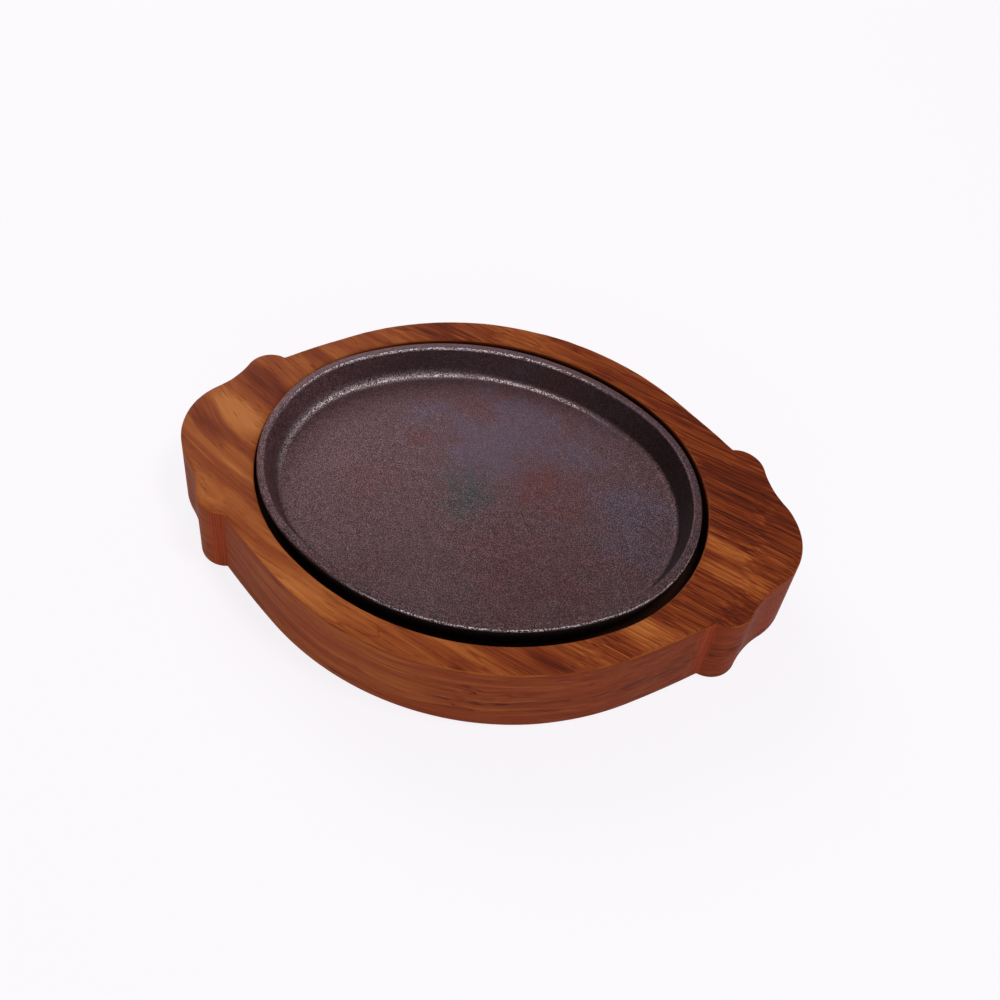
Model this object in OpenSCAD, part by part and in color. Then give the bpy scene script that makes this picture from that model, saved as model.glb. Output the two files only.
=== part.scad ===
// Oval sizzle platter: a loose cast iron dish that rests in the recess of a shaped wooden base.
// Millimetres, +Z up. The long axis is X and the underside of the base lies on z = 0.
// The outlines of both pieces and of the recess are chains of circular arcs. They run into each
// other smoothly everywhere but in the four notches beside the handles.

/* [Iron dish] */
// Length of the dish over its lip, before the lip's edge is rounded
dish_length = 189; // [180:1:215]
// Width of the dish over its lip, before the lip's edge is rounded
dish_width = 147; // [130:1:158]
// Height of the dish from its underside to the crest of the lip, before its edge is rounded
dish_height = 18; // [15:0.5:24]
// Thickness of the floor of the dish
floor_thick = 4; // [3:0.25:6]
// Thickness of the wall at the lip
wall_thick = 4; // [3:0.25:5]
// Inward lean of the outer face of the wall from lip to underside
outer_draft = 4.6; // [2:0.1:7]
// Inward lean of the inner face of the wall from lip to floor
inner_draft = 4.4; // [2:0.1:7]
// Radius of the hollow corner between wall and floor
floor_fillet = 3; // [2:0.5:6]
// Radius of the outer corner under the dish
foot_fillet = 4; // [2:0.5:6]
// Fall of the lip from its crest to its outer edge
lip_fall = 1.1; // [0.4:0.1:2]
// Rounding of the two edges of the lip
lip_edge_r = 1.1; // [0.6:0.1:1.6]

/* [Recess in the base] */
// Depth of the recess below the top of the plank
recess_depth = 14; // [10:0.5:20]
// Gap between the lip and the recess at each end when the dish lies in the middle
end_gap = 1.7; // [1:0.1:4]
// Gap between the lip and the recess at the front and at the back
side_gap = 4.5; // [2:0.1:6]
// How far the recess lies off the middle of the plank, towards the left handle
recess_shift = 2; // [0:0.1:3]
// Gap between the lip and the left end of the recess as the loose dish lies
left_gap = 0.5; // [0.2:0.1:1]
// Rounding of the recess's upper edge
recess_edge_r = 0.8; // [0.3:0.1:1.5]

/* [Wooden base] */
// Thickness of the plank
base_thick = 40; // [32:0.5:48]
// Width of the rim of wood at the front and at the back of the recess
rim_width = 12.5; // [8:0.5:20]
// Radius of the broad arc along the front and the back
crown_r = 125; // [115:1:135]
// Radius of the nearly straight flank between that arc and the notch
flank_r = 500; // [400:10:700]
// Distance from the end of the recess to the tip of the handle
handle_reach = 36.8; // [32:0.1:44]
// Radius of the nose at the tip of the handle
nose_r = 29.6; // [27:0.1:33]
// Distance along the handle from the end of the recess to the centre of the shoulder
shoulder_reach = 8.16; // [5:0.01:11]
// Distance of the shoulder's centre inwards from the flank, across the handle
shoulder_sink = 8.11; // [6:0.01:10]
// Radius of the rounded shoulder between notch and handle
shoulder_r = 11.5; // [10:0.1:13]
// Radius of the hollow sweep between shoulder and nose
sweep_r = 40; // [34:0.5:50]
// Rounding of the top edge of the plank
top_edge_r = 1.4; // [0.6:0.1:2.5]
// Rounding of the bottom edge of the plank
foot_edge_r = 1; // [0.4:0.1:2]

/* [Hidden] */
$fn = 96;
least_steps = 4;
steps_per_mm = 1.4;

// The arcs of the ovals, and crown and flank, meet on lines with the slope of a 3, 4, 5 triangle
run = 3;
rise = 4;
slant = 5;

// Solids that cut or trim reach this far past the faces that they pass
spare = 5;
// Points this far in from an arc lie past its centre
far = 999;
// Wedges end at this many times the distance of the points that they are aimed at
reach = 40;

dish_half = [dish_length, dish_width] / 2;
dish_shift = end_gap - left_gap;
recess_half = dish_half + [end_gap, side_gap];
recess_z = base_thick - recess_depth;

crown_c = [0, recess_half.y + rim_width - crown_r];
flank_c = crown_c - (flank_r - crown_r) / slant * [run, rise];
nose_c = [recess_half.x + handle_reach - nose_r, 0];
shoulder_x = recess_half.x + shoulder_reach;
shoulder_c = [shoulder_x, round(100 * (flank_y(shoulder_x) - shoulder_sink)) / 100];
sweep_c = meet(nose_c, nose_r + sweep_r, shoulder_c, shoulder_r + sweep_r);
flank_end = round(shoulder_x + shoulder_r / 3);

// Point at distance ra from a and rb from b, on the right of the way from a to b
function meet(a, ra, b, rb) =
    let (d = norm(b - a), u = (b - a) / d, t = (ra * ra - rb * rb + d * d) / (2 * d))
    a + t * u + sqrt(ra * ra - t * t) * [u.y, -u.x];

// Where the flank's arc passes the given x
function flank_y(x) = flank_c.y + sqrt(flank_r * flank_r - (x - flank_c.x) * (x - flank_c.x));

// Unit vector from a to b
function toward(a, b) = (b - a) / norm(b - a);

// To a thousandth of a millimetre, so that profiles on neighbouring arcs end in the same points
function fine(v) = [for (x = v) round(x * 1000) / 1000];

// Corner v between its neighbours a and b, rounded with radius r
function rounded(a, v, b, r) =
    let (
        n = max(least_steps, ceil(steps_per_mm * r)),
        p = toward(v, a),
        q = toward(v, b),
        half = acos(p * q) / 2,
        c = v + (p + q) / norm(p + q) * r / sin(half),
        s = v + p * r / tan(half) - c,
        e = v + q * r / tan(half) - c,
        w = atan2(s.y, s.x),
        full = atan2(e.y, e.x) - w,
        turn = full > 180 ? full - 360 : full < -180 ? full + 360 : full
    )
    [for (i = [0:n]) fine(c + r * [cos(w + turn * i / n), sin(w + turn * i / n)])];

// Centres of an oval's right end arc and of its back side arc, from its two half sizes
function end_c(half) = [run * (half.x - half.y) / (run + rise - slant), 0];
function side_c(half) = [0, -rise * (half.x - half.y) / (run + rise - slant)];

// Profiles are drawn with the outline on x = 0, inwards negative, and turned() moves them out to their arc
inward = [-1, 0];
plank_foot = [0, 0];
plank_top = [0, base_thick];
plank_edge = concat(
    rounded(plank_foot + inward, plank_foot, plank_top, foot_edge_r),
    rounded(plank_foot, plank_top, plank_top + inward, top_edge_r)
);
recess_foot = [0, recess_z];
recess_profile = concat(
    [[-far, base_thick + spare], [-far, recess_z], recess_foot],
    rounded(recess_foot, plank_top, plank_top - inward, recess_edge_r),
    [[recess_edge_r, base_thick + spare]]
);
lip_out = [0, dish_height - lip_fall];
lip_in = [-wall_thick, dish_height];
foot_out = [-outer_draft, 0];
floor_in = [-wall_thick - inner_draft, floor_thick];
// The rounded inner edge of the lip, which the casting and its hollow share up to the crest
lip_bend = rounded(lip_out, lip_in, floor_in, lip_edge_r);
crest_z = max([for (p = lip_bend) p.y]);
crest_x = max([for (p = lip_bend) if (p.y == crest_z) p.x]);
casting_profile = concat(
    [[-far, 0]],
    rounded(foot_out + inward, foot_out, lip_out, foot_fillet),
    rounded(foot_out, lip_out, lip_in, lip_edge_r),
    [for (p = lip_bend) if (p.x >= crest_x) p],
    [[-far, crest_z]]
);
hollow_profile = concat(
    [[crest_x, crest_z + spare]],
    [for (p = lip_bend) if (p.x <= crest_x) p],
    rounded(lip_in, floor_in, floor_in + inward, floor_fillet),
    [[-far, floor_thick], [-far, crest_z + spare]]
);

// Solid of revolution about c, with side = -1 for a profile whose inside faces away from c
module turned(c, r, profile, side = 1)
    translate([c.x, c.y, 0])
        rotate_extrude()
            polygon([for (p = profile) [max(0, r + side * p.x), p.y]]);

module prism(points, z0, z1)
    translate([0, 0, z0])
        linear_extrude(z1 - z0)
            polygon(points);

// Room inside an outline, past the top and the underside of the plank
module column(points) prism(points, -spare, base_thick + 2 * spare);

// Everything between the ways from c to a and from c to b
module wedge(c, a, b) column([c, c + reach * (a - c), c + reach * (b - c)]);

// Solid plank round c
module plank_disc(c, r) turned(c, r, concat([[-far, base_thick], [-far, 0]], plank_edge));

// The room left free by a hollow edge of the plank round c
module plank_hollow(c, r)
    turned(c, r, concat([[far, base_thick + spare], [far, -spare], [-foot_edge_r, -spare]],
                        plank_edge, [[-top_edge_r, base_thick + spare]]), -1);

// Broad arc along the back, which runs on inside the flanks
module crown()
    intersection() {
        plank_disc(crown_c, crown_r);
        column([[-recess_half.x, -spare], [recess_half.x, -spare],
                [recess_half.x, crown_r], [-recess_half.x, crown_r]]);
    }

// Nearly straight stretch from the crown into the right shoulder at the back
module flank()
    intersection() {
        plank_disc(flank_c, flank_r);
        column([crown_c, crown_c + flank_end / run * [run, rise], [flank_end, 0]]);
    }

// Wood between nose and shoulder, with the hollow sweep
module web()
    difference() {
        prism([nose_c, sweep_c, shoulder_c], 0, base_thick);
        plank_hollow(sweep_c, sweep_r);
    }

module plank()
    union()
        for (y = [0, 1])
            mirror([0, y, 0]) {
                crown();
                for (x = [0, 1])
                    mirror([x, 0, 0]) {
                        flank();
                        web();
                        plank_disc(shoulder_c, shoulder_r);
                        plank_disc(nose_c, nose_r);
                    }
            }

// Solid with an oval outline: its ends are whole discs that touch the wedges of the sides from within
module oval(half, profile)
    for (m = [0, 1]) {
        mirror([m, 0, 0])
            turned(end_c(half), half.x - end_c(half).x, profile);
        mirror([0, m, 0])
            intersection() {
                turned(side_c(half), half.y - side_c(half).y, profile);
                wedge(side_c(half), end_c(half), -end_c(half));
            }
    }

module wooden_base()
    color([0.5, 0.24, 0.1])
        difference() {
            plank();
            translate([-recess_shift, 0, 0])
                oval(recess_half, recess_profile);
        }

module iron_dish()
    color([0.13, 0.11, 0.11])
        translate([-recess_shift - dish_shift, 0, recess_z])
            difference() {
                oval(dish_half, casting_profile);
                oval(dish_half, hollow_profile);
            }

wooden_base();
iron_dish();
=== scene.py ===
"""Dresses the oval sizzle platter: a loose cast iron dish in the recess of a shaped wooden base."""

import math

import bpy
from bpy.props import FloatProperty, FloatVectorProperty, IntProperty, PointerProperty
from mathutils import Matrix, Vector, noise


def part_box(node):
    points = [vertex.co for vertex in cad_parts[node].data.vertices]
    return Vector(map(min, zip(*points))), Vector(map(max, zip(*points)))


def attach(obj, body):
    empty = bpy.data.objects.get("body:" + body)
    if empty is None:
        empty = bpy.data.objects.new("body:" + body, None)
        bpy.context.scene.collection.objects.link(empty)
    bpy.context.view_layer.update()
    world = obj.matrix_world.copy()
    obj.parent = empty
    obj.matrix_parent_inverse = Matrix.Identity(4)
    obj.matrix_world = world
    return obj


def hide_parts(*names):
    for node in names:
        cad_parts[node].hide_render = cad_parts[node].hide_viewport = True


bl_info = {
    "name": "Sizzle platter",
    "version": (1, 0, 0),
    "blender": (4, 5, 0),
    "location": "3D View > Sidebar > Platter",
    "description": "Makes a loose cast iron dish in a shaped wooden base, and a plain stage for them",
    "category": "Add Mesh",
}

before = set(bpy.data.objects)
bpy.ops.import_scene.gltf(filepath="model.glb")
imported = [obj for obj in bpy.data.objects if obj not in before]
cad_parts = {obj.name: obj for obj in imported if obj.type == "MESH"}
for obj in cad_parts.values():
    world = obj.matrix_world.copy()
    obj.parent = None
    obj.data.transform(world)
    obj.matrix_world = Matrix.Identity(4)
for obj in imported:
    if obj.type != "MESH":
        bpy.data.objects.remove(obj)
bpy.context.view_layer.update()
BASE_LOW, BASE_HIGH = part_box("wooden_base")
DISH_LOW, DISH_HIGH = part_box("iron_dish")

MM = 0.001
TAU = 2 * math.pi
# Neighbouring arcs of the ovals, and crown and flank, meet on lines at this angle to the long axis
JOIN = math.atan2(4, 3)
# So an oval's arc centres lie this many times the difference of its half sizes from its middle
END_SHARE = 1.5
SIDE_SHARE = 2
# Left of BEND_START the grain bends to the back, by BEND times the square of the distance
BEND_START = -50 * MM
BEND = 2.4
# Patches of the wood: x and y of the middle, length along and width across the grain, how much darker
PATCHES = (
    (-0.111, 0.008, 0.017, 0.0070, -0.38),
    (-0.124, 0.000, 0.016, 0.0045, 0.20),
    (-0.103, 0.026, 0.017, 0.0070, 0.26),
    (-0.112, -0.037, 0.012, 0.0070, -0.14),
    (-0.120, -0.0165, 0.011, 0.0007, -0.20),
    (-0.1035, -0.021, 0.008, 0.0008, -0.16),
    (-0.070, -0.068, 0.036, 0.0080, -0.20),
    (0.100, -0.008, 0.014, 0.0040, -0.24),
    (0.107, -0.021, 0.017, 0.0060, -0.28),
    (0.105, 0.024, 0.034, 0.0220, 0.10),
    (0.080, -0.058, 0.022, 0.0080, -0.30),
    (0.068, -0.050, 0.012, 0.0050, -0.20),
    (0.000, 0.083, 0.012, 0.0080, -0.18),
    (-0.045, 0.083, 0.022, 0.0080, 0.22),
    (0.040, -0.077, 0.010, 0.0050, 0.17),
)
# Knots: place, reach, and how far the grain gives way to them
KNOTS = (
    ((0.019, -0.089, 0.020), 15 * MM, 3 * MM),
    ((-0.109, -0.038, 0.040), 12 * MM, 2 * MM),
)
# Place on the floor of the dish where its grains are least plain, and how far from it
HAZE = (0.008, 0.034)
HAZE_REACH = 36 * MM
# Stains of the iron: x and y of the middle, reach, colour and strength
STAINS = (
    (0.008, 0.036, 0.032, "blue", 0.60),
    (0.062, 0.001, 0.019, "blue", 0.60),
    (-0.035, 0.034, 0.010, "blue", 0.35),
    (0.024, 0.012, 0.013, "rust", 0.80),
    (0.036, 0.000, 0.014, "rust", 0.55),
    (-0.033, 0.024, 0.006, "rust", 0.60),
    (0.018, -0.030, 0.028, "rust", 0.40),
    (-0.048, -0.006, 0.012, "rust", 0.30),
    (-0.005, -0.003, 0.013, "green", 0.75),
)


# Settings

class PlankSettings(bpy.types.PropertyGroup):
    """Sizes of the wooden base"""
    crown_radius: FloatProperty(
        name="Crown radius", description="Radius of the broad arc along the front and the back",
        default=125 * MM, min=0.1, unit="LENGTH")
    flank_radius: FloatProperty(
        name="Flank radius", description="Radius of the nearly straight stretch beside the notch",
        default=500 * MM, min=0.3, unit="LENGTH")
    nose_radius: FloatProperty(
        name="Nose radius", description="Radius of the tip of a handle",
        default=29.6 * MM, min=0.02, unit="LENGTH")
    shoulder_reach: FloatProperty(
        name="Shoulder reach", description="Distance from the end of the recess to the shoulder's centre",
        default=8.16 * MM, min=0.0, unit="LENGTH")
    shoulder_sink: FloatProperty(
        name="Shoulder sink", description="Distance of the shoulder's centre inwards from the flank",
        default=8.11 * MM, min=0.0, unit="LENGTH")
    shoulder_radius: FloatProperty(
        name="Shoulder radius", description="Radius of the rounded corner between notch and handle",
        default=11.5 * MM, min=0.005, unit="LENGTH")
    sweep_radius: FloatProperty(
        name="Sweep radius", description="Radius of the hollow stretch between shoulder and nose",
        default=40 * MM, min=0.02, unit="LENGTH")
    notch_radius: FloatProperty(
        name="Notch radius", description="Radius that the cutter leaves in the bottom of a notch",
        default=0.6 * MM, min=0.0001, unit="LENGTH")
    top_edge: FloatProperty(
        name="Top edge", description="Mean rounding of the top edge",
        default=1.3 * MM, min=0.0001, unit="LENGTH")
    foot_edge: FloatProperty(
        name="Foot edge", description="Rounding of the bottom edge",
        default=1 * MM, min=0.0001, unit="LENGTH")
    recess_end_gap: FloatProperty(
        name="Gap at the ends", description="Gap between lip and recess at each end of a centred dish",
        default=1.7 * MM, min=0.0, unit="LENGTH")
    recess_side_gap: FloatProperty(
        name="Gap at the sides", description="Gap between lip and recess at the front and the back",
        default=4.5 * MM, min=0.0, unit="LENGTH")
    recess_shift: FloatProperty(
        name="Recess shift", description="How far the recess lies off the middle, towards the left handle",
        default=2 * MM, min=0.0, unit="LENGTH")
    recess_edge: FloatProperty(
        name="Recess edge", description="Rounding of the recess's upper edge",
        default=0.8 * MM, min=0.0001, unit="LENGTH")
    spacing: FloatProperty(
        name="Spacing", description="Distance between neighbouring points of the mesh along the outline",
        default=1.1 * MM, min=0.0003, unit="LENGTH")
    sanding: FloatProperty(
        name="Sanding", description="How far the hand-sanded walls stray from the outline",
        default=0.16 * MM, min=0.0, unit="LENGTH")


class DishSettings(bpy.types.PropertyGroup):
    """Sizes of the iron dish"""
    length: FloatProperty(
        name="Length", description="Length over the lip before its edge is rounded",
        default=189 * MM, min=0.1, unit="LENGTH")
    width: FloatProperty(
        name="Width", description="Width over the lip before its edge is rounded",
        default=147 * MM, min=0.08, unit="LENGTH")
    height: FloatProperty(
        name="Height", description="Height to the crest of the lip before its edge is rounded",
        default=18 * MM, min=0.01, unit="LENGTH")
    floor: FloatProperty(
        name="Floor", description="Thickness of the floor",
        default=4 * MM, min=0.001, unit="LENGTH")
    wall: FloatProperty(
        name="Wall", description="Thickness of the wall at the lip",
        default=4 * MM, min=0.001, unit="LENGTH")
    outer_draft: FloatProperty(
        name="Outer draft", description="Inward lean of the outer face",
        default=4.6 * MM, unit="LENGTH")
    inner_draft: FloatProperty(
        name="Inner draft", description="Inward lean of the inner face",
        default=4.4 * MM, unit="LENGTH")
    floor_fillet: FloatProperty(
        name="Floor fillet", description="Radius of the hollow corner round the floor",
        default=3 * MM, min=0.0005, unit="LENGTH")
    foot_fillet: FloatProperty(
        name="Foot fillet", description="Radius of the outer corner under the dish",
        default=4 * MM, min=0.0005, unit="LENGTH")
    lip_fall: FloatProperty(
        name="Lip fall", description="Fall of the lip from its crest outwards",
        default=1.1 * MM, unit="LENGTH")
    lip_edge: FloatProperty(
        name="Lip edge", description="Rounding of both edges of the lip",
        default=1.1 * MM, min=0.0002, unit="LENGTH")
    spacing: FloatProperty(
        name="Spacing", description="Distance between neighbouring points of the mesh along the lip",
        default=0.95 * MM, min=0.0003, unit="LENGTH")
    unevenness: FloatProperty(
        name="Unevenness", description="Depth of the waves that the sand mould leaves",
        default=0.14 * MM, min=0.0, unit="LENGTH")


class WoodSettings(bpy.types.PropertyGroup):
    """Colours and figure of the wood"""
    grain_turn: FloatProperty(
        name="Grain turn", description="Direction of the grain, from the long axis towards the back",
        default=math.radians(-18), subtype="ANGLE")
    gold: FloatVectorProperty(
        name="Gold", description="Colour of the palest wood", subtype="COLOR",
        default=(0.43, 0.140, 0.032))
    pale: FloatVectorProperty(
        name="Pale", description="Colour of pale streaks", subtype="COLOR",
        default=(0.35, 0.098, 0.020))
    orange: FloatVectorProperty(
        name="Orange", description="Colour of the middling wood", subtype="COLOR",
        default=(0.240, 0.050, 0.009))
    brown: FloatVectorProperty(
        name="Brown", description="Colour of the darker wood", subtype="COLOR",
        default=(0.130, 0.017, 0.003))
    dark: FloatVectorProperty(
        name="Dark", description="Colour of veins and pores", subtype="COLOR",
        default=(0.035, 0.005, 0.001))
    sawn: FloatVectorProperty(
        name="Sawn wall", description="Colour that the walls lean to", subtype="COLOR",
        default=(0.235, 0.036, 0.008))
    notch: FloatVectorProperty(
        name="Notch", description="Colour of the freshly cut notches", subtype="COLOR",
        default=(0.36, 0.052, 0.012))
    # Painted shade: the colour that the recess is painted below its edge, where its shadow falls
    recess_shade: FloatVectorProperty(
        name="Soot", description="Colour of the recess under the hot dish", subtype="COLOR",
        default=(0.012, 0.005, 0.003))


class IronSettings(bpy.types.PropertyGroup):
    """Colours and grain of the iron"""
    body: FloatVectorProperty(
        name="Iron", description="Colour of the seasoned iron", subtype="COLOR",
        default=(0.107, 0.056, 0.063))
    rust: FloatVectorProperty(
        name="Rust", description="Colour of the faint brown patches", subtype="COLOR",
        default=(0.122, 0.038, 0.034))
    blue: FloatVectorProperty(
        name="Blue", description="Colour of the faint blue patches", subtype="COLOR",
        default=(0.105, 0.079, 0.114))
    green: FloatVectorProperty(
        name="Green", description="Colour of the faint green patch", subtype="COLOR",
        default=(0.060, 0.061, 0.064))
    # Painted highlight: the colour of the thin bright lines painted along the dish's edges
    highlight_colour: FloatVectorProperty(
        name="Bare iron", description="Colour where the seasoning is rubbed off", subtype="COLOR",
        default=(0.88, 0.79, 0.82))
    grain: FloatProperty(
        name="Grain", description="Size of the grains of the mould's sand",
        default=0.50 * MM, min=0.0001, unit="LENGTH")


class StageSettings(bpy.types.PropertyGroup):
    """Camera, lamps and floor"""
    azimuth: FloatProperty(
        name="Azimuth", description="How far the camera stands to the right of the front",
        default=math.radians(4.841), subtype="ANGLE")
    elevation: FloatProperty(
        name="Elevation", description="How far the camera stands above the horizon",
        default=math.radians(53.160), subtype="ANGLE")
    roll: FloatProperty(
        name="Roll", description="How far the camera leans", default=math.radians(8.055), subtype="ANGLE")
    distance: FloatProperty(
        name="Distance", description="From the camera to the middle of the base's top",
        default=584.9 * MM, min=0.1, unit="LENGTH")
    view_width: FloatProperty(
        name="Focal length in pixels", description="Focal length as a number of pixels of the square picture",
        default=1379, min=100)
    aim_x: FloatProperty(
        name="Aim x", description="Column of the picture in which the middle of the top lies", default=484.5)
    aim_y: FloatProperty(
        name="Aim y", description="Row of the picture in which the middle of the top lies", default=480.5)
    centre_x: FloatProperty(
        name="Centre x", description="Column of the cropped picture that the lens looks at squarely",
        default=394)
    centre_y: FloatProperty(
        name="Centre y", description="Row of the cropped picture that the lens looks at squarely",
        default=350)
    picture: IntProperty(
        name="Picture", description="Width and height of the picture in pixels", default=1000, min=1)
    floor_colour: FloatVectorProperty(
        name="Floor", description="Colour of the floor", subtype="COLOR", default=(0.90, 0.86, 0.91))


# Mesh building

def meet(a, ra, b, rb):
    """Point at distance ra from a and rb from b, on the right of the way from a to b."""
    d = (b - a).length
    u = (b - a) / d
    t = (ra * ra - rb * rb + d * d) / (2 * d)
    return a + t * u + math.sqrt(ra * ra - t * t) * Vector((u.y, -u.x))


def heading(a, b):
    """Angle of the way from a to b."""
    return math.atan2(b.y - a.y, b.x - a.x)


def arc(centre, radius, start, end, step, hollow=False):
    """Points on an arc with their normals away from the wood, without the last point."""
    if hollow:
        end += round((start - end) / TAU) * TAU
    n = max(4, math.ceil(abs(end - start) * radius / step))
    turns = [start + (end - start) * i / n for i in range(n)]
    ways = [Vector((math.cos(t), math.sin(t))) for t in turns]
    return [(centre + radius * w, -w if hollow else w) for w in ways]


def four_quarters(quarter, half_y):
    """The whole outline from its back right quarter, which runs from the X axis to short of the Y axis."""
    def flip(points, sx, sy):
        """Mirror images of points and normals."""
        return [(Vector((p.x * sx, p.y * sy)), Vector((n.x * sx, n.y * sy))) for p, n in points]
    last = (Vector((0, half_y)), Vector((0, 1)))
    backward = [last] + quarter[:0:-1]
    return quarter + flip(backward, -1, 1) + flip(quarter, -1, -1) + flip(backward, 1, -1)


def oval(half, step):
    """Points and normals along an oval of four arcs, from its two half sizes."""
    end = Vector((END_SHARE * (half.x - half.y), 0))
    side = Vector((0, -SIDE_SHARE * (half.x - half.y)))
    quarter = (
        arc(end, half.x - end.x, 0, JOIN, step)
        + arc(side, half.y - side.y, JOIN, TAU / 4, step)
    )
    return four_quarters(quarter, half.y)


def dish_half(dish):
    """Half the length and half the width of the dish."""
    return Vector((dish.length, dish.width)) / 2


def recess_half(plank, dish):
    """Half the length and half the width of the recess."""
    return dish_half(dish) + Vector((plank.recess_end_gap, plank.recess_side_gap))


def arc_centres(plank, dish):
    """Centres of the arcs at the back right of the plank's outline."""
    half = (BASE_HIGH - BASE_LOW) / 2
    crown = Vector((0, half.y - plank.crown_radius))
    lean = Vector((math.cos(JOIN), math.sin(JOIN)))
    flank = crown - (plank.flank_radius - plank.crown_radius) * lean
    x = recess_half(plank, dish).x + plank.shoulder_reach
    y = flank.y + math.sqrt(plank.flank_radius ** 2 - (x - flank.x) ** 2) - plank.shoulder_sink
    shoulder = Vector((x, y))
    notch = meet(shoulder, plank.shoulder_radius + plank.notch_radius,
                 flank, plank.flank_radius + plank.notch_radius)
    nose = Vector((half.x - plank.nose_radius, 0))
    sweep = meet(nose, plank.nose_radius + plank.sweep_radius,
                 shoulder, plank.shoulder_radius + plank.sweep_radius)
    return {
        "crown": crown, "flank": flank, "notch": notch,
        "shoulder": shoulder, "sweep": sweep, "nose": nose,
    }


def plank_outline(plank, dish):
    """Points and normals along the outline of the wooden base."""
    crown, flank, notch, shoulder, sweep, nose = arc_centres(plank, dish).values()
    step = plank.spacing
    quarter = (
        arc(nose, plank.nose_radius, 0, heading(nose, sweep), step)
        + arc(sweep, plank.sweep_radius, heading(sweep, nose), heading(sweep, shoulder), step, True)
        + arc(shoulder, plank.shoulder_radius, heading(shoulder, sweep), heading(shoulder, notch), step)
        + arc(notch, plank.notch_radius, heading(notch, shoulder), heading(notch, flank), step, True)
        + arc(flank, plank.flank_radius, heading(flank, notch), JOIN, step)
        + arc(crown, plank.crown_radius, JOIN, TAU / 4, step)
    )
    return four_quarters(quarter, crown.y + plank.crown_radius)


def rounded(a, v, b, radius, n):
    """Corner v between its neighbours a and b, rounded with n steps."""
    p, q = (a - v).normalized(), (b - v).normalized()
    half = p.angle(q) / 2
    centre = v + (p + q).normalized() * radius / math.sin(half)
    start = v + p * radius / math.tan(half) - centre
    end = v + q * radius / math.tan(half) - centre
    w = math.atan2(start.y, start.x)
    turn = (math.atan2(end.y, end.x) - w + math.pi) % TAU - math.pi
    return [centre + radius * Vector((math.cos(w + turn * i / n), math.sin(w + turn * i / n)))
            for i in range(n + 1)]


def between(a, b, n):
    """The n - 1 numbers or points that part the way from a to b in n steps."""
    return [a + (b - a) * i / n for i in range(1, n)]


def eased(n):
    """1 less the sine and 1 less the cosine, in n steps through a quarter turn."""
    turns = [TAU / 4 * i / n for i in range(n + 1)]
    return [(1 - math.sin(t), 1 - math.cos(t)) for t in turns]


def lifted(p, z):
    """The flat point p at the height z."""
    return Vector((p.x, p.y, z))


def skin(name, rings):
    """A closed mesh over rings of as many points each, with a fan over the first and the last ring."""
    count = len(rings[0])
    points = [p for ring in rings for p in ring]
    faces = []
    for k in range(len(rings) - 1):
        for i in range(count):
            j = (i + 1) % count
            faces.append((k * count + i, k * count + j, (k + 1) * count + j, (k + 1) * count + i))
    for ring, turn in ((0, -1), (len(rings) - 1, 1)):
        middle = len(points)
        points.append(sum(rings[ring], Vector()) / count)
        for i in range(count):
            faces.append((middle, ring * count + i, ring * count + (i + 1) % count)[::turn])
    mesh = bpy.data.meshes.new(name)
    mesh.from_pydata(points, [], faces)
    mesh.shade_smooth()
    mesh.validate()
    piece = bpy.data.objects.new(name, mesh)
    bpy.context.scene.collection.objects.link(piece)
    return piece


def wave(x, y, z, size):
    """Smooth noise from -1 to 1 with waves of the given size."""
    return noise.noise(Vector((x, y, z)) / size)


def in_same_direction(edge, rim):
    """For each point of the edge, the rim's point and normal in the same direction from the middle."""
    turns = [math.atan2(p.y, p.x) % TAU for p, _ in rim]
    mates = []
    k = 0
    for p, _ in edge:
        w = math.atan2(p.y, p.x) % TAU
        while k < len(turns) - 1 and turns[k + 1] <= w:
            k += 1
        after = (k + 1) % len(rim)
        span = (turns[after] - turns[k]) % TAU
        t = ((w - turns[k]) % TAU) / span if span else 0
        mates.append((rim[k][0].lerp(rim[after][0], t), rim[k][1].lerp(rim[after][1], t).normalized()))
    return mates


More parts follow.
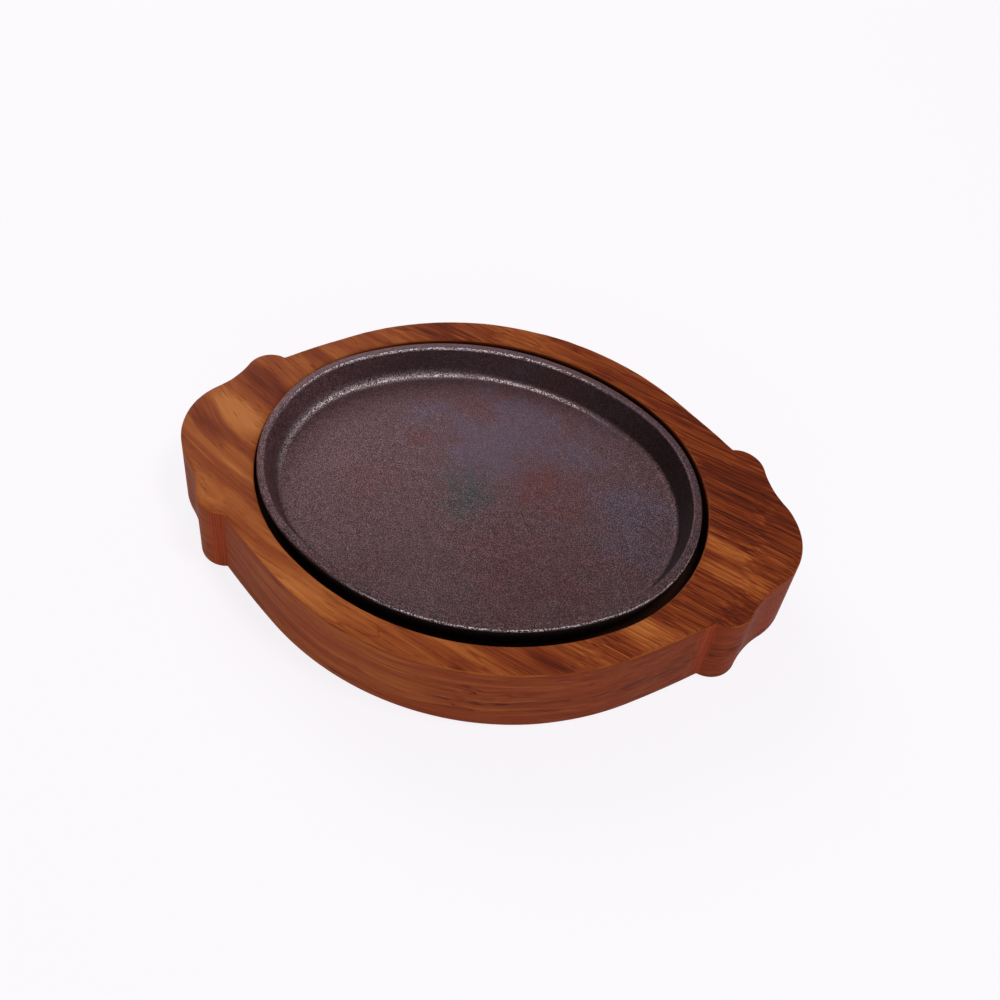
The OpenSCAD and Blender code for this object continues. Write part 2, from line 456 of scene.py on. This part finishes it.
def make_plank(plank, dish):
    """Mesh of the wooden base, in rings from its underside over its edge and down to the recess's floor."""
    top = BASE_HIGH.z
    floor = DISH_LOW.z
    corner = 1.5 * MM
    edge_steps, wall_steps, top_edge_steps, top_steps, recess_steps = 4, 22, 6, 14, 8
    edge = plank_outline(plank, dish)
    shift = Vector((-plank.recess_shift, 0))
    rim = [(p + shift, n) for p, n in oval(recess_half(plank, dish), plank.spacing)]
    mates = in_same_direction(edge, rim)
    # The rounding of the top edge is worn unevenly
    worn = [
        plank.top_edge * (0.75 + 0.4 * wave(p.x, p.y, 3.0, 17 * MM) + 0.15 * wave(p.x, p.y, 5.0, 4 * MM))
        for p, n in edge]

    def sanded(p, n, inset, z):
        """The point of the edge at a height, inwards by inset and by what the sanding took."""
        stray = plank.sanding * (0.5 + 0.5 * wave(p.x, p.y, z * 0.6, 21 * MM))
        return lifted(p - n * (inset + stray), z)

    # The flat underside and the recess's floor have rings at shares of their outlines
    rings = [[lifted(p * share, 0) for p, _ in edge] for share in (0.04, 0.2, 0.4, 0.6, 0.8, 0.92)]
    for a, b in eased(edge_steps):
        rings.append([sanded(p, n, plank.foot_edge * a, plank.foot_edge * b) for p, n in edge])
    for share in between(0, 1, wall_steps):
        rings.append([sanded(p, n, 0, plank.foot_edge + (top - plank.foot_edge - r) * share)
                      for (p, n), r in zip(edge, worn)])
    for a, b in eased(top_edge_steps):
        rings.append([sanded(p, n, r * b, top - r * a) for (p, n), r in zip(edge, worn)])
    outer = rings[-1]
    inner = [lifted(p + n * plank.recess_edge, top) for p, n in mates]
    for share in between(0, 1, top_steps):
        rings.append([p.lerp(q, share) for p, q in zip(outer, inner)])
    for a, b in eased(edge_steps):
        rings.append([lifted(p + n * plank.recess_edge * a, top - plank.recess_edge * b) for p, n in mates])
    for z in between(top - plank.recess_edge, floor + corner, recess_steps):
        rings.append([lifted(p, z) for p, n in mates])
    for a, b in eased(edge_steps):
        rings.append([lifted(p - n * corner * b, floor + corner * a) for p, n in mates])
    last = rings[-1]
    rings += [[lifted(p * share, floor) for p in last] for share in (0.8, 0.6, 0.4, 0.2, 0.04)]
    return skin("plank", rings)


def dish_profile(dish):
    """Section of the casting, with the lip's outline on x = 0 and its underside on y = 0."""
    lip_out = Vector((0, dish.height - dish.lip_fall))
    lip_in = Vector((-dish.wall, dish.height))
    foot = Vector((-dish.outer_draft, 0))
    hollow = Vector((-dish.wall - dish.inner_draft, dish.floor))
    inward = Vector((-1, 0))
    edge_steps, corner_steps, face_steps, lip_steps = 6, 10, 10, 4
    under = rounded(foot + inward, foot, lip_out, dish.foot_fillet, edge_steps)
    out_edge = rounded(foot, lip_out, lip_in, dish.lip_edge, edge_steps)
    in_edge = rounded(lip_out, lip_in, hollow, dish.lip_edge, edge_steps)
    corner = rounded(lip_in, hollow, hollow + inward, dish.floor_fillet, corner_steps)
    return (
        under + between(under[-1], out_edge[0], face_steps)
        + out_edge + between(out_edge[-1], in_edge[0], lip_steps)
        + in_edge + between(in_edge[-1], corner[0], face_steps)
        + corner
    )


def make_dish(dish):
    """Mesh of the iron dish, in rings from its underside over its lip and down to its floor."""
    middle = ((DISH_HIGH + DISH_LOW) / 2).xy
    ground = DISH_LOW.z
    floor_z = ground + dish.floor
    floor_steps = 46
    profile = dish_profile(dish)
    edge = oval(dish_half(dish), dish.spacing)

    def cast(p, way):
        """The point moved into the iron by what the mould left."""
        waves = 0.36 * wave(p.x, p.y, p.z, 23 * MM) + 0.14 * wave(p.x, p.y, p.z, 5 * MM)
        return p - way * dish.unevenness * (0.5 + waves)

    rings = []
    for share in (0.04, 0.25, 0.5, 0.75, 0.93):
        rings.append([lifted(middle + (p + n * profile[0].x) * share, ground) for p, n in edge])
    rings.append([lifted(middle + p + n * profile[0].x, ground) for p, n in edge])
    for before, at, after in zip(profile, profile[1:], profile[2:] + profile[-1:]):
        way = (after - before).normalized()
        rings.append([
            cast(lifted(middle + p + n * at.x, ground + at.y), Vector((n.x * way.y, n.y * way.y, -way.x)))
            for p, n in edge])
    for share in between(1, 0, floor_steps):
        rings.append([
            cast(lifted(middle + (p + n * profile[-1].x) * share, floor_z), Vector((0, 0, 1)))
            for p, n in edge])
    return skin("dish", rings)


# Materials

class Wire:
    """A socket of a shader, on which sums are written as they are read."""

    def __init__(self, sheet, socket):
        self.sheet = sheet
        self.socket = socket

    def __add__(self, other):
        return self.sheet.math("ADD", self, other)

    __radd__ = __add__

    def __mul__(self, other):
        return self.sheet.math("MULTIPLY", self, other)

    __rmul__ = __mul__

    def __sub__(self, other):
        return self.sheet.math("SUBTRACT", self, other)

    def __rsub__(self, other):
        return self.sheet.math("SUBTRACT", other, self)

    def __truediv__(self, other):
        return self.sheet.math("DIVIDE", self, other)

    def __rtruediv__(self, other):
        return self.sheet.math("DIVIDE", other, self)


class Sheet:
    """The node tree of a material or of the world."""

    def __init__(self, owner):
        self.owner = owner
        owner.use_nodes = True
        self.tree = owner.node_tree
        self.tree.nodes.clear()

    def node(self, kind, settings=None, sockets=None):
        """A node of a kind, its settings set first, then the values or links of its sockets."""
        made = self.tree.nodes.new(kind)
        for name, value in (settings or {}).items():
            if name == "stops":
                self.set_stops(made.color_ramp, value)
            else:
                setattr(made, name, value)
        for key, value in (sockets or {}).items():
            if isinstance(value, Wire):
                self.tree.links.new(value.socket, made.inputs[key])
            else:
                made.inputs[key].default_value = value
        return made

    def set_stops(self, ramp, stops):
        """Give a ramp its stops, each a position and a colour."""
        while len(ramp.elements) < len(stops):
            ramp.elements.new(1)
        for element, (position, colour) in zip(ramp.elements, stops):
            element.position = position
            element.color = (*colour, 1)

    def out(self, node, key=0):
        """One of the outputs of a node."""
        return Wire(self, node.outputs[key])

    def math(self, operation, *values, clamp=False):
        """A sum on values."""
        settings = {"operation": operation, "use_clamp": clamp}
        return self.out(self.node("ShaderNodeMath", settings, dict(enumerate(values))))

    def vector(self, operation, *values):
        """A sum on vectors, whose answer is a value where it is a length or a distance."""
        node = self.node("ShaderNodeVectorMath", {"operation": operation}, dict(enumerate(values)))
        return self.out(node, "Value" if operation in {"LENGTH", "DISTANCE"} else "Vector")

    def split(self, vector):
        """The three parts of a vector."""
        node = self.node("ShaderNodeSeparateXYZ", None, {0: vector})
        return self.out(node, 0), self.out(node, 1), self.out(node, 2)

    def join(self, x, y, z=0.0):
        """The vector with these three parts."""
        return self.out(self.node("ShaderNodeCombineXYZ", None, {0: x, 1: y, 2: z}))

    def mix(self, factor, a, b, blend="MIX"):
        """Colour b over colour a."""
        a, b = [v if isinstance(v, Wire) else (*v, 1) for v in (a, b)]
        settings = {"data_type": "RGBA", "blend_type": blend, "clamp_factor": True}
        return self.out(self.node("ShaderNodeMix", settings, {"Factor": factor, 6: a, 7: b}), 2)

    def grade(self, value, low, high, to_low=0.0, to_high=1.0):
        """value from low to high, spread smoothly over to_low to to_high."""
        return self.out(self.node("ShaderNodeMapRange", {"interpolation_type": "SMOOTHSTEP"},
                                  {0: value, 1: low, 2: high, 3: to_low, 4: to_high}))

    def grain(self, place, size, detail=2.0, rough=0.5):
        """Noise from 0 to 1 with waves of a size in metres."""
        return self.out(self.node("ShaderNodeTexNoise", None, {
            "Vector": place, "Scale": 1 / size, "Detail": detail, "Roughness": rough}))

    def cells(self, place, size):
        """Distance to the nearest of scattered points, which lie about a size apart."""
        return self.out(self.node("ShaderNodeTexVoronoi", None, {"Vector": place, "Scale": 1 / size}))

    def bump(self, height, distance, strength):
        """The normal that a height gives the surface, of which 1 stands for a distance in metres."""
        return self.out(self.node("ShaderNodeBump", None, {
            "Strength": strength, "Distance": distance, "Height": height}))

    def finish(self, shader):
        """Give the surface, or the world, its shader."""
        lights_world = isinstance(self.owner, bpy.types.World)
        kind = "ShaderNodeOutputWorld" if lights_world else "ShaderNodeOutputMaterial"
        self.node(kind, None, {"Surface": self.out(shader)})
        return self.owner


def oval_gap(s, x, y, half):
    """How far a point lies outside an oval of four arcs, and negative inside it."""
    end = END_SHARE * (half.x - half.y)
    side = SIDE_SHARE * (half.x - half.y)
    x, y = s.math("ABSOLUTE", x), s.math("ABSOLUTE", y)
    from_end = s.vector("LENGTH", s.join(x - end, y)) - (half.x - end)
    from_side = s.vector("LENGTH", s.join(x, y + side)) - (half.y + side)
    beside = s.math("GREATER_THAN", y * math.cos(JOIN) - (x - end) * math.sin(JOIN), 0.0)
    return from_end + beside * (from_side - from_end)


def along_across(x, y, turn):
    """x and y along and across the direction turn, for numbers and for wires."""
    return x * math.cos(turn) + y * math.sin(turn), y * math.cos(turn) - x * math.sin(turn)


def wood_run(s, wood, place, side, left):
    """Places along the grain, straight across it, across its waves and in depth, and its small waves."""
    x, y, z = s.split(place)
    along, straight = along_across(x, y, wood.grain_turn)
    bend = s.math("MINIMUM", x - BEND_START, 0.0)
    straight = straight - bend * bend * BEND
    sway = s.grain(s.join(along * 0.4, straight * 0.8, z * 0.5), 60 * MM, 1.0, 0.4) - 0.5
    curl = s.grain(s.join(along * 0.5, straight, z), 26 * MM, 1.0, 0.4) - 0.5
    across = straight + sway * (left * (9 * MM) + 7 * MM) + curl * left * (14 * MM)
    heave = s.grain(s.join(along * 0.5, across * 0.2), 30 * MM, 2.0, 0.5) - 0.5
    deep = z + heave * (10 * MM)

    # A wall cuts the layers lengthways, so that its lines run level
    across = across * (1 - side * 0.85)
    for at, size, push in KNOTS:
        bulge = s.grade(s.vector("DISTANCE", place, at), 0.0, size, push, 0.0)
        across = across + bulge
        deep = deep + bulge
    return along, straight, across, deep, curl


def wood_patches(s, wood, along, straight, curl):
    """How much the broad patches, long in the direction of the grain, darken the wood."""
    darker = 0.0
    for x, y, length, width, amount in PATCHES:
        at, off = along_across(x, y, wood.grain_turn)
        off -= BEND * min(x - BEND_START, 0) ** 2
        u = (along - at) / length
        v = (straight + curl * (5 * MM) - off) / width
        darker = darker + s.grade(u * u + v * v, 0.0, 1.6, amount * 1.15, 0.0)
    return darker


def wood_material(wood, plank, dish):
    """Oiled hardwood, with streaks, veins and pores that run through the plank in one direction."""
    s = Sheet(bpy.data.materials.new("oiled wood"))
    place = s.out(s.node("ShaderNodeTexCoord"), "Object")
    x, y, z = s.split(place)
    _, _, nz = s.split(s.out(s.node("ShaderNodeNewGeometry"), "Normal"))
    side = 1 - s.grade(s.math("ABSOLUTE", nz), 0.25, 0.8)
    left = s.grade(x, -95 * MM, -10 * MM, 1.0, 0.0)
    right = s.grade(x, 30 * MM, 95 * MM)
    along, straight, across, deep, curl = wood_run(s, wood, place, side, left)

    def streaks(size, stretch, flat, low, high, detail=2.0):
        """Bands along the grain, size wide, stretch times as long, and flatter in depth."""
        return s.grade(s.grain(s.join(along / stretch, across, deep * flat), size, detail, 0.6), low, high)

    tone = streaks(13 * MM, 7, 1.8, 0.38, 0.62)
    band = streaks(4.2 * MM, 16, 1.4, 0.38, 0.62)
    fine = streaks(1.1 * MM, 60, 1.0, 0.38, 0.62, 3.0)
    hair = streaks(0.5 * MM, 80, 1.0, 0.36, 0.64)
    light = streaks(1.0 * MM, 50, 1.0, 0.58, 0.68)
    field = s.grain(s.join(along / 14, across, deep * 1.6), 8 * MM, 2.0, 0.55)
    vein = s.grade(s.math("ABSOLUTE", field - 0.47), 0.003, 0.022, 1.0, 0.0)
    vein = vein * s.grade(s.grain(place, 30 * MM, 1.0), 0.42, 0.58)

    # The left handle has broad quiet bands, the right one many thin lines on darker wood
    front = s.grade(y, -84 * MM, -55 * MM, 0.6, 1.0)
    thin = (fine * 0.20 + hair * 0.20 - light * 0.19) * (1 - left * 0.7) * (1 - side * 0.3)
    thin = thin * (right * 0.35 + front * 0.9)
    broad = tone * (left * 0.06 - right * 0.06 + 0.17) + band * (0.16 - left * 0.05 - right * 0.10)
    dark = broad + left * 0.16 + thin + vein * (side * 0.40 - right * 0.10 + 0.20)
    dark = dark + s.grade(x, -60 * MM, 110 * MM, 0.03, 0.33)
    dark = dark + wood_patches(s, wood, along, straight, curl) * (1 - side)
    stops = ((0.0, wood.gold), (0.18, wood.pale), (0.42, wood.orange), (0.70, wood.brown), (1.0, wood.dark))
    colour = s.out(s.node("ShaderNodeValToRGB", {"stops": stops}, {0: dark}))

    # Pores are short dark strokes along the grain, and dots where it is cut across
    pore = s.grade(s.cells(s.join(along * 0.07, across, z), 0.9 * MM), 0.12, 0.32, 1.0, 0.0)
    pore = pore * s.grade(s.grain(place, 6 * MM), 0.42, 0.6)
    colour = s.mix(pore * 0.45, colour, wood.dark)

    # Walls are redder and evener, most of all round the right handle
    evened = s.grade(s.grain(s.join(along * 0.3, across, deep), 14 * MM, 2.0), 0.3, 0.7, 0.10, 0.62)
    colour = s.mix(side * evened, colour, wood.sawn)
    ruddy = s.mix(0.45, wood.notch, wood.brown)
    colour = s.mix(side * s.grade(x, 98 * MM, 122 * MM, 0.0, 0.5), colour, ruddy)

    # The walls keep the red of the cut and its upright lines, a little to the left of each notch
    aside = 2.5 * MM
    notch = arc_centres(plank, dish)["notch"]
    corner = s.join(s.math("ABSOLUTE", x + aside), s.math("ABSOLUTE", y))
    patchy = s.grain(s.join(x, y, z * 0.3), 4 * MM, 2.0, 0.6) - 0.5
    away = s.vector("DISTANCE", corner, lifted(notch, 0.0)) + patchy * (5 * MM)
    cut = side * s.grade(away, 2.6 * MM, 4.8 * MM, 1.0, 0.0)
    lines = s.grain(s.join(x, y, z * 0.01), 0.5 * MM, 1.0, 0.6)
    lined = s.mix(s.grade(lines, 0.36, 0.64, 0.0, 0.7), wood.notch, wood.brown)
    colour = s.mix(cut * 0.85, colour, lined)

    # Painted highlight: the top edge is painted paler, in patches. Painted shade: the recess is painted near
    # black below its edge, where no light reaches
    top = BASE_HIGH.z
    painted_highlight = s.grade(z, top - 2.0 * MM, top - 0.6 * MM) * s.grade(nz, 0.97, 0.80) * s.grade(nz, 0.2, 0.5)
    colour = s.mix(painted_highlight * s.grade(s.grain(place, 9 * MM), 0.4, 0.65, 0.1, 0.6), colour, wood.pale)
    rim = oval_gap(s, x + plank.recess_shift, y, recess_half(plank, dish))
    recess_shade = s.grade(rim, 0.0, 0.8 * MM, 1.0, 0.0) * s.grade(z, top - 2.5 * MM, top - 0.5 * MM, 0.94, 0.0)
    colour = s.mix(recess_shade, colour, wood.recess_shade)

    height = fine * -0.4 - hair * 0.3 - pore * 0.8 + cut * lines * 1.5
    rough = s.math("ADD", 0.42 + fine * 0.08, side * 0.20 + pore * 0.2, clamp=True)
    return s.finish(s.node("ShaderNodeBsdfPrincipled", None, {
        "Base Color": colour, "Roughness": rough, "Normal": s.bump(height, 0.07 * MM, 0.8),
        "IOR": 1.46, "Specular IOR Level": 0.10}))


def highlight_lines(s, dish, middle, place, patchy):
    """How strongly painted highlights brighten the dish, along thin lines round its lip and its floor."""
    x, y, z = s.split(place)
    rim = oval_gap(s, x - middle.x, y, dish_half(dish))
    high = s.grade(z, DISH_HIGH.z - 3 * MM, DISH_HIGH.z - 1.5 * MM)

    def thread(inset, half, soft, amount):
        """A line round the casting at a distance inwards from the lip."""
        return s.grade(s.math("ABSOLUTE", rim + inset), half, soft, amount, 0.0)

    # Painted highlights along the lip's inner edge and the edge of the floor at the back left
    inner = thread(dish.wall + 0.05 * MM, 0.15 * MM, 0.45 * MM, 1.0) * high
    inner = inner * s.grade(y * 0.94 - x * 0.35, 28 * MM, 66 * MM)
    at_foot = dish.wall + dish.inner_draft + 0.8 * MM
    foot = thread(at_foot, 0.2 * MM, 1.0 * MM, 0.90) * s.grade(y * 0.9 - x * 0.35, 20 * MM, 58 * MM)
    foot = foot * s.grade(patchy, 0.38, 0.6, 0.35, 1.0)
    wide = thread(at_foot, 0.3 * MM, 2.4 * MM, 0.5) * s.grade(y - x, 60 * MM, 115 * MM)

    # Painted highlight along the lip's outer edge at the front, most of all to the right
    outer = thread(0.45 * MM, 0.1 * MM, 0.45 * MM, 0.9) * high * s.grade(x * 0.4 - y * 0.9, 30 * MM, 64 * MM)
    return s.math("MAXIMUM", s.math("MAXIMUM", inner, outer), s.math("MAXIMUM", foot, wide))


def iron_material(iron, dish, middle):
    """Seasoned cast iron with the grain of the sand mould, and painted highlights along its edges."""
    s = Sheet(bpy.data.materials.new("seasoned iron"))
    place = s.out(s.node("ShaderNodeTexCoord"), "Object")
    x, y, _ = s.split(place)
    flat_place = s.join(x, y)
    nx, _, nz = s.split(s.out(s.node("ShaderNodeNewGeometry"), "Normal"))
    cloud = s.grain(place, 55 * MM, 3.0, 0.6)
    patchy = s.grain(s.vector("ADD", place, (0.3, 0.1, 0.2)), 26 * MM, 3.0, 0.6)
    speck = s.grain(place, iron.grain, 2.0, 0.7)
    spark = s.grain(s.vector("ADD", place, (0.1, 0.2, 0.0)), iron.grain * 1.2, 1.0, 0.5)
    coarse = s.grain(place, 2.2 * MM, 2.0, 0.6)

    # Stains with ragged edges
    colour = s.mix(s.grade(cloud, 0.50, 0.68) * 0.3, iron.body, iron.rust)
    ragged = (patchy - 0.5) * 2.2 + (s.grain(place, 9 * MM, 3.0, 0.65) - 0.5) * 2.6
    for stain_x, stain_y, reach, kind, amount in STAINS:
        away = s.vector("DISTANCE", flat_place, (stain_x, stain_y, 0.0)) / reach
        colour = s.mix(s.grade(away + ragged, 0.1, 1.4, amount, 0.0), colour, getattr(iron, kind))

    # Painted light and shade, as from a light at the back left: darker towards the front and the right, and
    # on the walls, but paler on the wall that faces right
    wall = s.grade(nx, -0.9, -0.1, 0.36, 0.55) + s.grade(nx, 0.3, 0.95, 0.0, 1.1)
    flat = s.grade(nz, 0.35, 0.75)
    painted_shading = s.grade(x * 0.3 - y * 0.8, -65 * MM, 65 * MM, 1.04, 0.64) * (wall + flat * (1 - wall))

    # Pale grains on a darker ground, less plain in the haze and towards the back
    grains = s.grade(speck, 0.44, 0.66, 0.36, 2.70) * s.grade(coarse, 0.34, 0.66, 0.85, 1.15)
    away = s.vector("DISTANCE", flat_place, (*HAZE, 0.0)) / HAZE_REACH
    haze = s.math("MAXIMUM", s.grade(away + ragged * 0.5, 0.2, 1.3, 0.5, 0.0),
                  s.grade(y, -10 * MM, 65 * MM, 0.0, 0.45))
    shade = (grains + haze * (1 - grains)) * painted_shading
    colour = s.mix(1.0, colour, s.join(shade, shade, shade), "MULTIPLY")
    # Painted highlights: bright speckled lines along the lip and the floor's edge, where the lamps would
    # glint
    painted_highlight = highlight_lines(s, dish, middle, place, patchy) * s.grade(spark, 0.44, 0.58)
    colour = s.mix(painted_highlight, colour, iron.highlight_colour)

    rough = s.math("ADD", s.grade(cloud, 0.3, 0.7, 0.40, 0.50),
                   s.grade(speck, 0.3, 0.7, -0.06, 0.08) - painted_highlight * 0.10, clamp=True)
    return s.finish(s.node("ShaderNodeBsdfPrincipled", None, {
        "Base Color": colour, "Roughness": rough, "Metallic": 0.7,
        "Normal": s.bump(speck + coarse * 0.8, 0.28 * MM, 1.0)}))


def floor_material(colour):
    """Pale floor that the camera and mirrors see close to white, and that keeps the shadow."""
    glowing = 0.85
    s = Sheet(bpy.data.materials.new("pale floor"))
    path = s.node("ShaderNodeLightPath")
    seen = s.math("MAXIMUM", s.out(path, "Is Camera Ray"), s.out(path, "Is Glossy Ray"))
    matt = s.node("ShaderNodeBsdfDiffuse", None, {"Color": (*colour, 1)})
    glow = s.node("ShaderNodeEmission", None, {"Color": (1.0, 0.975, 1.0, 1), "Strength": 1.0})
    return s.finish(s.node("ShaderNodeMixShader", None, {0: seen * glowing, 1: s.out(matt), 2: s.out(glow)}))


def room_world():
    """A pale room round the stage, which the camera sees as white."""
    room_light = 0.33
    s = Sheet(bpy.data.worlds.new("room"))
    seen = s.out(s.node("ShaderNodeLightPath"), "Is Camera Ray")
    room = s.node("ShaderNodeBackground", None, {"Color": (1.0, 0.98, 1.0, 1), "Strength": room_light})
    white = s.node("ShaderNodeBackground", None, {"Color": (1, 1, 1, 1), "Strength": 1.0})
    return s.finish(s.node("ShaderNodeMixShader", None, {0: seen, 1: s.out(room), 2: s.out(white)}))


# Operators

class PLATTER_OT_wooden_base(bpy.types.Operator):
    """Make the wooden base from its outline and its recess"""
    bl_idname = "platter.wooden_base"
    bl_label = "Wooden base"

    def execute(self, context):
        scene = context.scene
        piece = make_plank(scene.platter_plank, scene.platter_dish)
        wood = wood_material(scene.platter_wood, scene.platter_plank, scene.platter_dish)
        piece.data.materials.append(wood)
        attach(piece, "root")
        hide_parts("wooden_base")
        return {"FINISHED"}


class PLATTER_OT_iron_dish(bpy.types.Operator):
    """Make the iron dish from its profile, swept round an oval"""
    bl_idname = "platter.iron_dish"
    bl_label = "Iron dish"

    def execute(self, context):
        scene = context.scene
        piece = make_dish(scene.platter_dish)
        middle = (DISH_LOW + DISH_HIGH) / 2
        piece.data.materials.append(iron_material(scene.platter_iron, scene.platter_dish, middle))
        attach(piece, "root")
        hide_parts("iron_dish")
        return {"FINISHED"}


class PLATTER_OT_stage(bpy.types.Operator):
    """Lay the floor and set the lamps and the camera"""
    bl_idname = "platter.stage"
    bl_label = "Stage"

    def execute(self, context):
        stage = context.scene.platter_stage
        self.floor(context, stage)
        self.lamp(context, "overhead", (0.35, -0.08, 1.25), (0.25, 0.25), 5.5)
        self.lamp(context, "behind", (-0.75, 1.0, 1.0), (0.9, 0.8), 11)
        self.lamp(context, "front", (0.1, -1.25, 0.55), (1.2, 0.5), 4)
        context.scene.world = room_world()
        self.camera(context, stage)
        return {"FINISHED"}

    def floor(self, context, stage):
        """Lay a floor that reaches far past the picture."""
        reach = 6.0
        corners = [(-reach, -reach, 0), (reach, -reach, 0), (reach, reach, 0), (-reach, reach, 0)]
        mesh = bpy.data.meshes.new("floor")
        mesh.from_pydata(corners, [], [(0, 1, 2, 3)])
        mesh.materials.append(floor_material(stage.floor_colour))
        floor = bpy.data.objects.new("floor", mesh)
        context.scene.collection.objects.link(floor)

    def lamp(self, context, name, place, size, power):
        """Hang a flat lamp that looks at the platter."""
        data = bpy.data.lights.new(name, "AREA")
        data.shape = "RECTANGLE"
        data.size, data.size_y = size
        data.energy = power
        lamp = bpy.data.objects.new(name, data)
        lamp.location = place
        lamp.rotation_euler = (-Vector(place)).to_track_quat("-Z", "Y").to_euler()
        context.scene.collection.objects.link(lamp)

    def camera(self, context, stage):
        """Look from the given side so that the middle of the top falls where the picture has it."""
        az, el, roll = stage.azimuth, stage.elevation, stage.roll
        back = Vector((math.sin(az) * math.cos(el), -math.cos(az) * math.cos(el), math.sin(el)))
        right = (-back).cross(Vector((0, 0, 1))).normalized()
        up = right.cross(-back)
        leaned = Matrix((
            right * math.cos(roll) + up * math.sin(roll),
            up * math.cos(roll) - right * math.sin(roll),
            back))
        off = Vector((stage.aim_x - stage.centre_x, stage.centre_y - stage.aim_y, -stage.view_width))
        swing = Vector((0, 0, -1)).rotation_difference(off.normalized()).to_matrix()
        turned = (swing @ leaned).transposed()
        data = bpy.data.cameras.new("camera")
        data.sensor_width = 36
        data.lens = data.sensor_width * stage.view_width / stage.picture
        data.shift_x = 0.5 - stage.centre_x / stage.picture
        data.shift_y = stage.centre_y / stage.picture - 0.5
        data.clip_start = 0.01
        camera = bpy.data.objects.new("camera", data)
        place = Vector((0, 0, BASE_HIGH.z)) + back * stage.distance
        camera.matrix_world = Matrix.Translation(place) @ turned.to_4x4()
        context.scene.collection.objects.link(camera)
        context.scene.camera = camera


class PLATTER_PT_sidebar(bpy.types.Panel):
    """Buttons and sizes of the platter"""
    bl_idname = "PLATTER_PT_sidebar"
    bl_label = "Sizzle platter"
    bl_space_type = "VIEW_3D"
    bl_region_type = "UI"
    bl_category = "Platter"

    def draw(self, context):
        for operator in OPERATORS:
            self.layout.operator(operator.bl_idname)
        for name, settings in SETTINGS.items():
            box = self.layout.box()
            for prop in settings.__annotations__:
                box.prop(getattr(context.scene, name), prop)


SETTINGS = {
    "platter_plank": PlankSettings,
    "platter_dish": DishSettings,
    "platter_wood": WoodSettings,
    "platter_iron": IronSettings,
    "platter_stage": StageSettings,
}
OPERATORS = (PLATTER_OT_wooden_base, PLATTER_OT_iron_dish, PLATTER_OT_stage)


def register():
    """Register the classes and give every scene its settings."""
    for cls in (*SETTINGS.values(), *OPERATORS, PLATTER_PT_sidebar):
        bpy.utils.register_class(cls)
    for name, settings in SETTINGS.items():
        setattr(bpy.types.Scene, name, PointerProperty(type=settings))


def unregister():
    """Take back what register did."""
    for name in SETTINGS:
        delattr(bpy.types.Scene, name)
    for cls in (PLATTER_PT_sidebar, *reversed(OPERATORS), *reversed(SETTINGS.values())):
        bpy.utils.unregister_class(cls)


def main():
    """Make the pieces and the stage."""
    register()
    bpy.context.scene.view_settings.view_transform = "Standard"
    bpy.ops.platter.wooden_base()
    bpy.ops.platter.iron_dish()
    bpy.ops.platter.stage()


if __name__ == "__main__":
    main()
